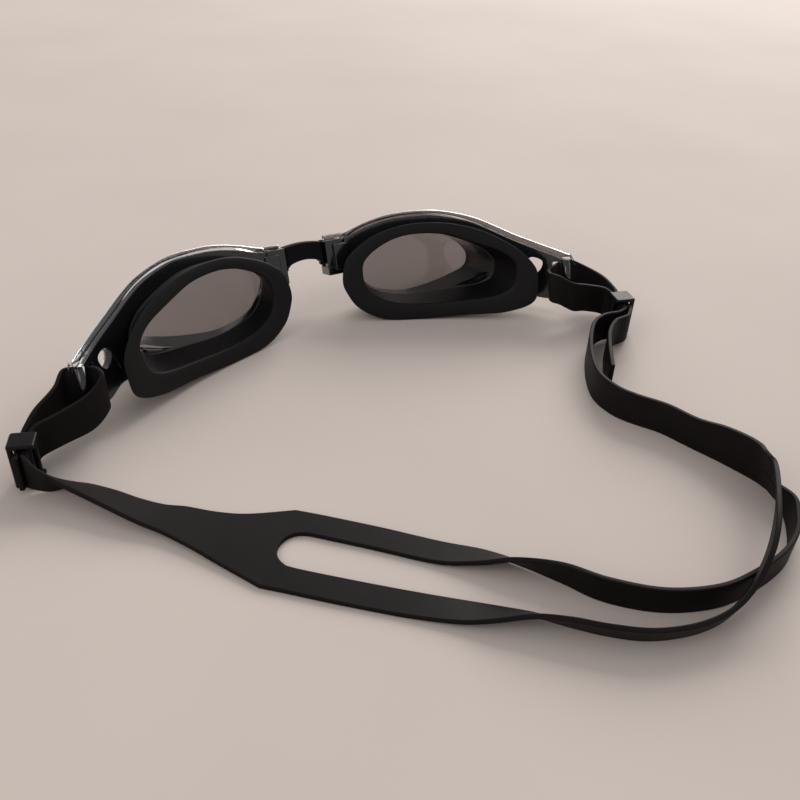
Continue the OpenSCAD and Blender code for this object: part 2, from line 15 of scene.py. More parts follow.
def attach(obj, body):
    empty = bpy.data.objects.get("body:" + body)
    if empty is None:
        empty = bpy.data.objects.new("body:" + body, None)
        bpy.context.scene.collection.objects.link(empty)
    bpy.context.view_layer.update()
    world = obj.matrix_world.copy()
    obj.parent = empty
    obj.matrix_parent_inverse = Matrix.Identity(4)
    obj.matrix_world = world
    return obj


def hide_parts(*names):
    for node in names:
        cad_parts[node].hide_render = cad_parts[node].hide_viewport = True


bl_info = {
    "name": "Swimming Goggles",
    "version": (1, 0, 0),
    "blender": (4, 5, 0),
    "location": "3D View > Sidebar > Goggles",
    "description": "Lenses, frames, gaskets, nose bridge, strap and buckles on the packed part",
    "category": "Add Mesh",
}

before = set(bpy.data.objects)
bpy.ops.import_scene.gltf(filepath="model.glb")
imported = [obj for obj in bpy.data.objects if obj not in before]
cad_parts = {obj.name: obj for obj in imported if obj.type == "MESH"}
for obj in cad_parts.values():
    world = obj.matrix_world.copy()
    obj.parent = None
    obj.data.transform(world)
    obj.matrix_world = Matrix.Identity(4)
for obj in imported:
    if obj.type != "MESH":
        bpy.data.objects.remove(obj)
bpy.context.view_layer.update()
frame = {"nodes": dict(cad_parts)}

MM = 0.001
SIDES = {"right": 1, "left": -1}

# Lean of the cups, height of the nose line and shift of the whole object, as in the part's source
LEAN = math.radians(19.2)
NOSE_HEIGHT = 13.65
ORIGIN = (4.06, 72.91)

# Eye cup, upright, for the right eye, with x out from the nose. In names R is a radius, C a centre,
# T a thickness, W a width, D a diameter, H a height and L a length
FIT_GAP = 0.15
FACE_R, FACE_C = 150.0, (-20.0, -147.0)
PLATE_R, PLATE_C, PLATE_T = 85.0, (14.0, -77.0), 2.0
LENS_BACK, LENS_T, SKIN_T, LIP_W = 8.8, 2.4, 1.2, 1.5
PANE_FRONT = LENS_BACK + LENS_T
PANE_X, PANE_R, PANE_GAP = 53.0, 24.0, 0.2
RING_T, WALL_T = 1.8, 1.2

FLANGE_OUT = [(9.3, 1), (10.7, 6.4), (13.6, 9.9), (19.4, 13.3), (27.6, 16), (36, 16.6), (46.5, 15), (56, 11),
              (64.5, 4.6), (69.5, -2.5), (70.1, -8.5), (68.3, -15.2), (60, -17.8), (48, -17.2), (34, -16.6),
              (21.5, -14.6), (13.5, -9.4), (9.9, -3)]
FLANGE_IN = [(16.4, 1), (16.9, 5), (18.9, 7.6), (23.2, 10.4), (28.8, 12.4), (35.5, 12.9), (44, 11.5),
             (52.5, 7.6), (60, 3.6), (63.8, -0.6), (64.1, -4.5), (62.6, -9.2), (57.5, -11.6), (47, -11.8),
             (34.5, -11.2), (24.8, -9), (19, -5.6), (16.8, -2.2)]
WINDOW = [(17.9, 2.6), (17, 5.6), (19, 8.4), (23.4, 10.8), (29.5, 12.4), (36.5, 12.9), (44.5, 12.2),
          (52, 9.8), (58, 6.2), (61.2, 2.4), (61.8, -0.6), (60.4, -3.6), (56.5, -5.3), (47.5, -7.1),
          (36, -7.9), (27.5, -6.1), (22.6, -3.7), (19.7, -0.4)]
LENS_OUT = [(13.95, 7), (14.6, 12.2), (20, 15.9), (28, 17.8), (36, 18.5), (44, 18), (50, 16.9), (56, 14.6),
            (62, 11), (66.5, 6), (67.3, 0), (64.5, -4.8), (60, -7.2), (52, -9.6), (42, -10.2), (32, -9.8),
            (24, -7.6), (18.3, -3.8), (14.9, 1.5)]
PLATE_OUT = [(12.6, 3), (12.3, 9.5), (13.4, 14.8), (17, 16.2), (23, 18), (30, 19.3), (37, 19.6), (45, 19.2),
             (51.5, 17.7), (58.5, 15), (64, 11.6), (70, 7.3), (75, 4), (79.2, 1.2), (82.2, -0.9)]
PLATE_LOW = [(78.4, -16), (74.8, -15), (70.5, -12.6), (64, -12.4), (54, -12.6), (44, -12.4), (34, -11.2),
             (26, -10.4), (19.5, -8), (15, -3.5)]
WING_HOLE = [(72.2, -2.6), (74, -0.8), (76.4, -2.2), (76.2, -4.6), (74.8, -6.4), (73, -5.2)]
DOT_HOLE, DOT_D = (70.7, -7.7), 1.0

# Wing: the bar that the strap goes round, and the slot beside it
BAR_X, BAR_D, SLOT_W, RAIL_T = 81.7, 2.6, 3.6, 1.6
BAND_W, STRAND_W, SPLIT_W, CLOSED_W, STRAP_T = 10.2, 7.4, 11.6, 1.2, 1.3
EDGE_GAP = 0.3
SLOT_TOP = -2.9
SLOT_L = BAND_W + 0.8 + 2 * EDGE_GAP
SLOT_LOW = SLOT_TOP - SLOT_L
BAR_R = PLATE_R - PLATE_T / 2
BAR_A = math.asin((BAR_X - PLATE_C[0]) / BAR_R)
BAR_XY = (PLATE_C[0] + BAR_R * math.sin(BAR_A), PLATE_C[1] + BAR_R * math.cos(BAR_A))

# Nose lug and bridge
PIN_XY, PIN_D, PIN_GAP, PIN_Z = (10.2, 10.4), 3.8, 0.06, (5.6, 14.1)
LUG_X, LUG_Y, LUG_Z = (7.3, 13.6), (6.6, 13.2), (2.4, 14.3)
NECK_T, NECK_GAP, BRIDGE_D = 1.8, 0.35, 4.2
BRIDGE_TOP, BRIDGE_FOOT, ARCH_Z = 14.7, 6.2, 9.1

# Buckles: place, and how far the strap has turned inward there, in degrees. The spare keeps the rungs clear
# of the strap, and their ends lie inside the rails
BUCKLE_H, BUCKLE_L, RUNG_D, LAYER_GAP = 13.4, 6.6, 1.6, 0.5
BUCKLES = {"right": ((92.4, -45.8), 14.0), "left": ((100.4, -43.6), -18.0)}
RUNG_SPARE, RUNG_END = 0.06, 0.4

# The camera on the table: place, directions, focal length, sensor width and clipping in metres
CAMERA_AT = (-101.6, -238.3, 149.0)
CAMERA_RIGHT, CAMERA_UP = (0.8821, -0.4696, 0.0371), (0.2417, 0.5189, 0.8200)
CAMERA_AHEAD = (0.4043, 0.7143, -0.5712)
CAMERA_LENS, CAMERA_SENSOR, CAMERA_CLIP = 38.80, 36.0, (0.01, 20)

# Table, in metres: half its side, and its drop below the strap's flat underside
TABLE_HALF, TABLE_DROP = 3.0, 0.00003

# Area lights: name, place and size in metres, share of the window's power, tint
LAMPS = (("window", (1.5, 1.3, 1.15), 1.5, 1.0, (1.0, 0.98, 0.95)),
         ("room", (-1.4, -0.2, 1.2), 1.0, 0.12, (1.0, 0.98, 0.96)))
ROOM_TINT = (1.0, 0.98, 0.97, 1.0)

# Finishes: dust, what handling marks and grain change, the frames' coat and the lenses' smears
DUST_COLOUR = (0.16, 0.15, 0.14)
MARK_LIGHTER, MARK_ROUGHER, GRAIN_ROUGHER = 1.6, 0.12, 0.1
COAT_ROUGH = 0.08
LENS_SMEAR, LENS_ROUGH = 0.25, (0.02, 0.09)


# ---- curves and places


def curve(a, b, c, d, t):
    """Point of a smooth line between b and c."""
    return 0.5 * (2 * b + (c - a) * t + (2 * a - 5 * b + 4 * c - d) * t**2 + (3 * b - a - 3 * c + d) * t**3)


def closed(points, steps):
    """A smooth closed outline through the chosen points."""
    p, n = np.asarray(points, float), len(points)
    t = (np.arange(steps) / steps)[:, None]
    return np.concatenate([curve(p[i - 1], p[i], p[(i + 1) % n], p[(i + 2) % n], t) for i in range(n)])


def opened(points, steps):
    """A smooth open line through the chosen points, with its two ends."""
    p, n = np.asarray(points, float), len(points)
    t = (np.arange(steps) / steps)[:, None]
    spans = [curve(p[max(i - 1, 0)], p[i], p[i + 1], p[min(i + 2, n - 1)], t) for i in range(n - 1)]
    return np.concatenate([*spans, p[-1:]])


def unit(v):
    return v / np.linalg.norm(v, axis=-1, keepdims=True)


def outward(p):
    """Outward directions of a clockwise outline in x and z."""
    t = unit(np.roll(p, -1, 0) - np.roll(p, 1, 0))
    return np.stack([-t[:, 1], t[:, 0]], 1)


def inset_open(points, d):
    """An open line drawn in by d."""
    p = np.asarray(points, float)
    ahead, behind = np.vstack([p[1:], p[-1:]]), np.vstack([p[:1], p[:-1]])
    t = unit(ahead - behind)
    return p - d * np.stack([-t[:, 1], t[:, 0]], 1)


def stand(flat, y):
    """Points in x and z, with their depth."""
    return np.stack([flat[:, 0], np.broadcast_to(y, len(flat)), flat[:, 1]], 1)


def face_y(x):
    return FACE_C[1] + np.sqrt(FACE_R**2 - (x - FACE_C[0]) ** 2)


def plate_y(x, d=0.0):
    """Depth of the plate's front, or of a surface d in front of it."""
    return PLATE_C[1] + np.sqrt((PLATE_R + d) ** 2 - (x - PLATE_C[0]) ** 2)


def pane_y(x, d=0.0):
    """Depth of the pane's front, or of a surface d behind it."""
    turn = PANE_FRONT - PANE_R + np.sqrt(np.maximum((PANE_R - d) ** 2 - np.maximum(x - PANE_X, 0) ** 2, 0.01))
    return np.where(x < PANE_X, PANE_FRONT - d, turn)


def laid(p):
    """Points on the table, in the row frame."""
    return (np.asarray(p, float) + [ORIGIN[0], ORIGIN[1], 0]) * MM


def leaned(p, side=1):
    """Upright points of the right eye, leaned as they lie, on the right or left, without the shift."""
    x, y, z = np.asarray(p, float).T
    c, s = math.cos(LEAN), math.sin(LEAN)
    return np.stack([side * x, y * c + z * s, NOSE_HEIGHT - y * s + z * c], -1)


def worn(p, side=1):
    """The same points in the row frame."""
    return laid(leaned(p, side))


# ---- mesh building


def loop_edges(bm, verts):
    return [bm.edges.get((verts[i - 1], verts[i])) or bm.edges.new((verts[i - 1], verts[i]))
            for i in range(len(verts))]


def start_loop(bm, points):
    verts = [bm.verts.new(p) for p in points]
    loop_edges(bm, verts)
    return verts


def run_on(bm, verts, rings):
    """Extrudes a loop through rings of points, and gives the last loop."""
    for ring in rings:
        made = bmesh.ops.extrude_edge_only(bm, edges=loop_edges(bm, verts))["geom"]
        fresh = {g for g in made if isinstance(g, bmesh.types.BMVert)}
        verts = [next(e.other_vert(v) for e in v.link_edges if e.other_vert(v) in fresh) for v in verts]
        for v, p in zip(verts, ring):
            v.co = p
    return verts


def tube_ring(bm, rings):
    """A closed skin through rings of points, whose last ring joins the first."""
    run_on(bm, start_loop(bm, rings[0]), [*rings[1:], rings[0]])
    bmesh.ops.remove_doubles(bm, verts=bm.verts[:], dist=1e-5)


def fill(bm, verts):
    bmesh.ops.contextual_create(bm, geom=loop_edges(bm, verts))


def fillet(section, radii, segments=3):
    """Rounds the corners of closed sections, given as stations x corners x 3."""
    out, m = [], section.shape[1]
    for j, r in enumerate(radii):
        before, corner, after = section[:, j - 1], section[:, j], section[:, (j + 1) % m]
        if r == 0:
            out.append(corner)
            continue
        arms = []
        for other in (before, after):
            reach = np.linalg.norm(other - corner, axis=1, keepdims=True)
            arms.append(corner + (other - corner) / reach * np.minimum(r, 0.46 * reach))
        for k in range(segments + 1):
            t = k / segments
            out.append((1 - t) ** 2 * arms[0] + 2 * t * (1 - t) * corner + t * t * arms[1])
    return np.stack(out)


def round_edges(bm, width, segments=2, angle=50, keep=None):
    """Rounds every edge sharper than the angle."""
    edges = [e for e in bm.edges if len(e.link_faces) == 2 and e.calc_face_angle(0) > math.radians(angle)
             and (keep is None or keep(e))]
    bmesh.ops.bevel(bm, geom=edges, offset=width, offset_type="OFFSET", segments=segments, profile=0.5,
                    affect="EDGES", clamp_overlap=False, loop_slide=True, material=-1)


def prism(bm, outline, holes, low, high):
    """A plate cut to an outline with holes, between two depths; the outline is in x and z."""
    edges = []
    for line in (outline, *holes):
        edges += loop_edges(bm, [bm.verts.new((x, low, z)) for x, z in line])
    made = bmesh.ops.triangle_fill(bm, use_beauty=True, use_dissolve=False, edges=edges)
    faces = [g for g in made["geom"] if isinstance(g, bmesh.types.BMFace)]
    moved = bmesh.ops.extrude_face_region(bm, geom=faces)["geom"]
    bmesh.ops.translate(bm, verts=[g for g in moved if isinstance(g, bmesh.types.BMVert)],
                        vec=(0, high - low, 0))
    bmesh.ops.recalc_face_normals(bm, faces=bm.faces[:])


def block(low, high):
    """A bmesh of a block between two corners."""
    part = bmesh.new()
    bmesh.ops.create_cube(part, size=1)
    for v in part.verts:
        v.co = [low[i] if v.co[i] < 0 else high[i] for i in range(3)]
    return part


def box(bm, low, high, width):
    """Adds a block with rounded edges."""
    part = block(low, high)
    round_edges(part, width)
    add(bm, part)


def rod(bm, radius, low, high, at, segments=32, rounding=0.0):
    """An upright rod, with rounded ends where a rounding is given."""
    part = bmesh.new()
    bmesh.ops.create_cone(part, cap_ends=True, segments=segments, radius1=radius, radius2=radius,
                          depth=high - low, matrix=Matrix.Translation((at[0], at[1], (low + high) / 2)))
    if rounding:
        round_edges(part, rounding, 3)
    add(bm, part)


def add(bm, part):
    """Adds one bmesh to another."""
    mesh = bpy.data.meshes.new("part")
    part.to_mesh(mesh)
    part.free()
    bm.from_mesh(mesh)
    bpy.data.meshes.remove(mesh)


def place(bm, how):
    """Moves all points of a bmesh by a function of their array."""
    points = how(np.array([v.co for v in bm.verts], float))
    for v, p in zip(bm.verts, points):
        v.co = p


def finish_piece(name, bm, body, material, nodes=()):
    """Makes the piece's object at the origin, gives it its body and finish, and hides the CAD nodes it
    replaces.
    """
    bmesh.ops.recalc_face_normals(bm, faces=bm.faces[:])
    mesh = bpy.data.meshes.new(name)
    bm.to_mesh(mesh)
    bm.free()
    mesh.polygons.foreach_set("use_smooth", [True] * len(mesh.polygons))
    mesh.materials.append(material)
    piece = bpy.data.objects.new(name, mesh)
    bpy.context.scene.collection.objects.link(piece)
    even = piece.modifiers.new("even_normals", "WEIGHTED_NORMAL")
    even.keep_sharp = True
    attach(piece, body)
    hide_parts(*nodes)
    return piece


# ---- node groups and finishes


def node_group(name, inputs, outputs, build):
    """Makes a shader node group once, with named sockets."""
    tree = bpy.data.node_groups.get(name)
    if tree:
        return tree
    tree = bpy.data.node_groups.new(name, "ShaderNodeTree")
    for label, kind, value in inputs:
        socket = tree.interface.new_socket(label, in_out="INPUT", socket_type=kind)
        if value is not None:
            socket.default_value = value
    for label, kind in outputs:
        tree.interface.new_socket(label, in_out="OUTPUT", socket_type=kind)
    build(tree, tree.nodes.new("NodeGroupInput"), tree.nodes.new("NodeGroupOutput"))
    return tree


def node(tree, kind, links=None, **values):
    """Adds a node, sets its properties or sockets, and links its inputs."""
    made = tree.nodes.new(kind)
    for key, value in values.items():
        if hasattr(made, key):
            setattr(made, key, value)
        else:
            made.inputs[key.replace("_", " ").title()].default_value = value
    for key, source in (links or {}).items():
        tree.links.new(source, made.inputs[key])
    return made


def math_node(tree, operation, a, b):
    made = tree.nodes.new("ShaderNodeMath")
    made.operation = operation
    for i, value in enumerate((a, b)):
        if isinstance(value, (int, float)):
            made.inputs[i].default_value = value
        else:
            tree.links.new(value, made.inputs[i])
    return made.outputs[0]


def spread(tree, value, low, high, to_low=0.0, to_high=1.0):
    """Maps a value between two limits onto two others."""
    made = tree.nodes.new("ShaderNodeMapRange")
    tree.links.new(value, made.inputs["Value"])
    for key, v in (("From Min", low), ("From Max", high), ("To Min", to_low), ("To Max", to_high)):
        made.inputs[key].default_value = v
    return made.outputs["Result"]


def build_grain(tree, given, out):
    """Fine moulded grain with a slow waviness under it."""
    where = given.outputs["Vector"]
    fine = node(tree, "ShaderNodeTexNoise", {"Vector": where, "Scale": given.outputs["Scale"]}, detail=4.0,
                roughness=0.6)
    slow = node(tree, "ShaderNodeTexNoise", {"Vector": where}, scale=160.0, detail=2.0)
    tall = math_node(tree, "MULTIPLY", slow.outputs[0], given.outputs["Waviness"])
    tree.links.new(math_node(tree, "ADD", fine.outputs[0], tall), out.inputs["Height"])
    tree.links.new(fine.outputs[0], out.inputs["Grain"])


def build_marks(tree, given, out):
    """Patches of handling marks, and a few specks of dust."""
    where = given.outputs["Vector"]
    patch = node(tree, "ShaderNodeTexNoise", {"Vector": where}, scale=90.0, detail=5.0, roughness=0.7)
    speck = node(tree, "ShaderNodeTexVoronoi", {"Vector": where}, scale=420.0)
    small = spread(tree, speck.outputs["Distance"], 0.03, 0.09, 1.0, 0.0)
    pick = spread(tree, speck.outputs["Color"], 0.86, 0.9)
    tree.links.new(spread(tree, patch.outputs[0], 0.42, 0.72), out.inputs["Marks"])
    tree.links.new(math_node(tree, "MULTIPLY", small, pick), out.inputs["Dust"])


def grain_group():
    return node_group("moulded_grain",
                      [("Vector", "NodeSocketVector", None), ("Scale", "NodeSocketFloat", 2500.0),
                       ("Waviness", "NodeSocketFloat", 1.0)],
                      [("Height", "NodeSocketFloat"), ("Grain", "NodeSocketFloat")], build_grain)


def marks_group():
    return node_group("handling_marks", [("Vector", "NodeSocketVector", None)],
                      [("Marks", "NodeSocketFloat"), ("Dust", "NodeSocketFloat")], build_marks)


def new_material(name):
    made = bpy.data.materials.new(name)
    made.use_nodes = True
    tree = made.node_tree
    shader = tree.nodes["Principled BSDF"]
    where = tree.nodes.new("ShaderNodeTexCoord").outputs["Object"]
    return made, tree, shader, where


def mix_colours(tree, factor, a, b):
    made = tree.nodes.new("ShaderNodeMix")
    made.data_type = "RGBA"
    for socket, value in ((made.inputs[6], a), (made.inputs[7], b)):
        if isinstance(value, bpy.types.NodeSocket):
            tree.links.new(value, socket)
        else:
            socket.default_value = (*value, 1.0)
    tree.links.new(factor, made.inputs[0])
    return made.outputs[2]


def moulded(name, colour, *, rough, grain_scale, bump, marks, dust, waviness=1.0, coat=0.0, specular=0.5):
    """A moulded black finish: marks and dust vary its colour, marks and grain its roughness."""
    made = bpy.data.materials.get(name)
    if made:
        return made
    made, tree, shader, where = new_material(name)
    grain = node(tree, "ShaderNodeGroup", node_tree=grain_group())
    worn_by = node(tree, "ShaderNodeGroup", node_tree=marks_group())
    for group in (grain, worn_by):
        tree.links.new(where, group.inputs["Vector"])
    grain.inputs["Scale"].default_value = grain_scale
    grain.inputs["Waviness"].default_value = waviness
    lighter = [c * MARK_LIGHTER + 0.001 for c in colour]
    base = mix_colours(tree, math_node(tree, "MULTIPLY", worn_by.outputs["Marks"], marks), colour, lighter)
    base = mix_colours(tree, math_node(tree, "MULTIPLY", worn_by.outputs["Dust"], dust), base, DUST_COLOUR)
    tree.links.new(base, shader.inputs["Base Color"])
    varied = spread(tree, worn_by.outputs["Marks"], 0.0, 1.0, rough, rough + MARK_ROUGHER * marks)
    centred = math_node(tree, "SUBTRACT", grain.outputs["Grain"], 0.5)
    fine = math_node(tree, "MULTIPLY", centred, GRAIN_ROUGHER)
    tree.links.new(math_node(tree, "ADD", varied, fine), shader.inputs["Roughness"])
    relief = node(tree, "ShaderNodeBump", {"Height": grain.outputs["Height"]}, strength=0.5, distance=bump)
    tree.links.new(relief.outputs[0], shader.inputs["Normal"])
    shader.inputs["Coat Weight"].default_value = coat
    shader.inputs["Coat Roughness"].default_value = COAT_ROUGH
    shader.inputs["Specular IOR Level"].default_value = specular
    return made


def smoke_glass(colour):
    """Smoke-tinted clear plastic with faint smears."""
    made = bpy.data.materials.get("smoke_tinted_shell")
    if made:
        return made
    made, tree, shader, where = new_material("smoke_tinted_shell")
    worn_by = node(tree, "ShaderNodeGroup", {"Vector": where}, node_tree=marks_group())
    tint = mix_colours(tree, math_node(tree, "MULTIPLY", worn_by.outputs["Marks"], LENS_SMEAR), colour,
                       [min(1.0, c * 1.12 + 0.02) for c in colour])
    tree.links.new(tint, shader.inputs["Base Color"])
    smeared = spread(tree, worn_by.outputs["Marks"], 0.0, 1.0, *LENS_ROUGH)
    tree.links.new(smeared, shader.inputs["Roughness"])
    shader.inputs["Transmission Weight"].default_value = 1.0
    shader.inputs["IOR"].default_value = 1.5
    return made


def table_top(colour):
    """A pale, slightly mottled table top."""
    made, tree, shader, where = new_material("table_top")
    cloud = node(tree, "ShaderNodeTexNoise", {"Vector": where}, scale=9.0, detail=3.0)
    fine = node(tree, "ShaderNodeTexNoise", {"Vector": where}, scale=700.0, detail=4.0)
    darker = [c * 0.94 for c in colour]
    tree.links.new(mix_colours(tree, spread(tree, cloud.outputs[0], 0.3, 0.7), colour, darker),
                   shader.inputs["Base Color"])
    relief = node(tree, "ShaderNodeBump", {"Height": fine.outputs[0]}, strength=0.15, distance=0.0001)
    tree.links.new(relief.outputs[0], shader.inputs["Normal"])
    shader.inputs["Roughness"].default_value = 0.8
    shader.inputs["Specular IOR Level"].default_value = 0.1
    return made


# ---- eye cups


class Cup:
    """The stations round one cup: flange opening, window and outer rim matched point by point."""

    def __init__(self, steps):
        self.inner, self.pane, self.rim = (closed(p, steps) for p in (FLANGE_IN, WINDOW, FLANGE_OUT))
        self.low = stand(self.inner, face_y(self.inner[:, 0]))
        self.high = stand(self.pane, pane_y(self.pane[:, 0], LENS_T) - PANE_GAP)
        self.out, self.in_out, self.rim_out = (
            stand(outward(p), 0.0) for p in (self.pane, self.inner, self.rim))

    def wall(self, s):
        """Points on the cup's inner wall at a share s from the flange, 0, to the window, 1."""
        return self.low + (self.high - self.low) * np.reshape(s, (-1, 1))

    def seat(self, d):
        """The share at which the wall meets the plate's back, or a surface d behind it, found in rounds."""
        guess, rounds = 0.6, 6
        s = np.full(len(self.low), guess)
        for _ in range(rounds):
            x = self.wall(s)[:, 0]
            s = (plate_y(x, -PLATE_T - d) - self.low[:, 1]) / (self.high[:, 1] - self.low[:, 1])
        return s


def reach(outline, points, directions):
    """Distance from each point to the outline round it, in its own direction."""
    ahead = np.roll(outline, -1, 0) - outline
    out = []
    for p, d in zip(points, directions):
        a = outline - p
        k = d[0] * ahead[:, 1] - d[1] * ahead[:, 0]
        t = (a[:, 0] * ahead[:, 1] - a[:, 1] * ahead[:, 0]) / k
        u = (a[:, 0] * d[1] - a[:, 1] * d[0]) / k
        out.append(min(t[(t > 0) & (u >= 0) & (u <= 1)]))
    return np.array(out)[:, None]


def along(x):
    """Length along the plate's middle surface from its foremost line to x."""
    return BAR_R * np.arcsin((np.asarray(x, float) - PLATE_C[0]) / BAR_R)


def wing_sheet(bm, lip, depth, thickness, cup_hole, slot_spare, rounding, nose_cut=None):
    """A sheet bent round the plate's cylinder, with its slot open outward and holes for cup, wing and dot.

    lip draws its upper edge in, slot_spare makes the slot taller, and nose_cut is where it ends at the nose.
    """
    tip = BAR_R * BAR_A + BAR_D / 2
    inside = BAR_R * BAR_A - BAR_D / 2 - SLOT_W
    top, bottom = SLOT_TOP + slot_spare, SLOT_LOW - slot_spare
    upper_rail, lower_rail = SLOT_TOP + RAIL_T - lip / 3 - 0.8 + 0.15, SLOT_LOW - RAIL_T
    flat = [(float(along(x)), z) for x, z in opened(inset_open(PLATE_OUT, lip), 6)]
    flat = [p for p in flat if p[0] < tip - 0.2]
    flat += [(tip, upper_rail), (tip, top), (inside, top), (inside, bottom), (tip, bottom),
             (tip, min(lower_rail + 2.4, bottom - 0.5)), (tip - 1.8, lower_rail + 0.5),
             (tip - 3.4, lower_rail)]
    flat += [(float(along(x)), z) for x, z in opened(PLATE_LOW, 6)]
    if nose_cut is not None:
        flat = [(max(x, float(along(nose_cut))), z) for x, z in flat]
    dot = [(float(along(DOT_HOLE[0])) + DOT_D / 2 * math.cos(a), DOT_HOLE[1] + DOT_D / 2 * math.sin(a))
           for a in np.linspace(0, 2 * math.pi, 17)[:-1]]
    holes = [np.stack([along(h[:, 0]), h[:, 1]], 1) for h in (cup_hole, closed(WING_HOLE, 4))]
    part = bmesh.new()
    prism(part, flat, [*holes, dot], 0.0, thickness)
    bmesh.ops.remove_doubles(part, verts=part.verts[:], dist=0.02)
    round_edges(part, rounding)
    facet = 1.5
    for u in np.arange(-facet, tip, facet):
        bmesh.ops.bisect_plane(part, geom=part.verts[:] + part.edges[:] + part.faces[:], dist=1e-4,
                               plane_co=(u, 0, 0), plane_no=(1, 0, 0))

    def bend(p):
        r, a = PLATE_R - PLATE_T + depth + p[:, 1], p[:, 0] / BAR_R
        return np.stack([PLATE_C[0] + r * np.sin(a), PLATE_C[1] + r * np.cos(a), p[:, 2]], 1)

    place(part, bend)
    add(bm, part)


def build_gasket(sizes):
    """Flange rolled at its opening and thinned at its rim, skirt, and a bead where it seats on the plate."""
    cup = Cup(10)
    skirt, thick = sizes.skirt_t / MM, sizes.flange_t / MM
    bead_w, bead_h, groove_h, neck_share, rim_step, rim_t = 0.7, 1.3, 2.0, 0.12, 0.7, 0.35
    a, b = cup.wall(0.0), cup.wall(cup.seat(FIT_GAP))
    e = b + cup.out * skirt
    e[:, 1] = plate_y(e[:, 0], -PLATE_T - FIT_GAP)
    bead = b + cup.out * (skirt + bead_w)
    bead[:, 1] = plate_y(bead[:, 0], -PLATE_T - FIT_GAP)
    up = np.array([0, 1.0, 0])
    neck = a + up * thick + (b - a) * neck_share + cup.in_out * skirt
    rise = unit(neck - e)
    o = stand(cup.rim, face_y(cup.rim[:, 0]))
    wide = o - a
    belly = [a + wide * share - up * drop for share, drop in ((0.72, 0.12), (0.3, 0.25))]
    section = np.stack([a, b, bead, bead + rise * bead_h, e + rise * groove_h, neck,
                        o + up * thick - cup.rim_out * rim_step, o + up * rim_t, *belly], 1)
    corner_radii = [0.8, 0.1, 0.35, 0.4, 0.5, 1.2, 0.5, 0.35, 1.2, 1.2]
    return fillet(section, corner_radii)


def build_cup_wall():
    """Cup wall from inside the plate to the pane, with the ring behind the pane."""
    cup = Cup(10)
    room = closed(LENS_OUT, 10)
    room = room - outward(room) * (SKIN_T + FIT_GAP)
    a, b = cup.wall(cup.seat(-PLATE_T / 5)), cup.high
    rim = b + cup.out * reach(room, cup.pane, cup.out[:, [0, 2]])
    rim[:, 1] = pane_y(rim[:, 0], LENS_T) - PANE_GAP
    back = cup.wall(1 - RING_T / (b[:, 1] - cup.low[:, 1])) + cup.out * WALL_T
    section = np.stack([a, b, rim, rim - [0, RING_T, 0], back, a + cup.out * WALL_T], 1)
    corner_radii = [0.2, 0.45, 0.25, 0.25, 0.5, 0.2]
    return fillet(section, corner_radii)


def build_lug(bm):
    """Nose lug: a block with a keyhole for the bridge's pin, on a web that joins it to the plate."""
    r, half = PIN_D / 2 + PIN_GAP, NECK_T / 2 + NECK_GAP
    first = math.pi - math.asin(half / r)
    hole = [(PIN_XY[0] + r * math.cos(a), PIN_XY[1] + r * math.sin(a))
            for a in np.linspace(first, -first, 28)]
    outline = [(LUG_X[0], LUG_Y[1]), (LUG_X[0], PIN_XY[1] + half), *hole, (LUG_X[0], PIN_XY[1] - half),
               (LUG_X[0], LUG_Y[0]), (LUG_X[1], LUG_Y[0]), (LUG_X[1], LUG_Y[1])]
    floor = PIN_Z[0] - EDGE_GAP
    part = bmesh.new()
    prism(part, outline, [], floor, LUG_Z[1])
    round_edges(part, 0.25)
    place(part, lambda p: p[:, [0, 2, 1]])
    add(bm, part)
    box(bm, (LUG_X[0], LUG_Y[0], LUG_Z[0]), (LUG_X[1], LUG_Y[1], floor), width=0.25)
    web_low = (LUG_X[0] + 2.5, LUG_Y[0] - 1.2, LUG_Z[0] + 1.5)
    web_high = (LUG_X[1] + 1.5, LUG_Y[0] + 0.8, LUG_Z[1] - 1.5)
    box(bm, web_low, web_high, width=0.4)


def build_frame(bm):
    """Plate and wing, cup wall, nose lug and strap bar of one cup, upright."""
    cup = Cup(8)
    mid = cup.wall(cup.seat(-PLATE_T / 2)) + cup.out * WALL_T / 2
    wing_sheet(bm, lip=LIP_W, depth=0.0, thickness=PLATE_T, cup_hole=mid[:, [0, 2]], slot_spare=0.0,
               rounding=0.3)
    wall = bmesh.new()
    tube_ring(wall, build_cup_wall())
    add(bm, wall)
    build_lug(bm)
    rod(bm, BAR_D / 2, SLOT_LOW - 0.3, SLOT_TOP + 0.3, BAR_XY)


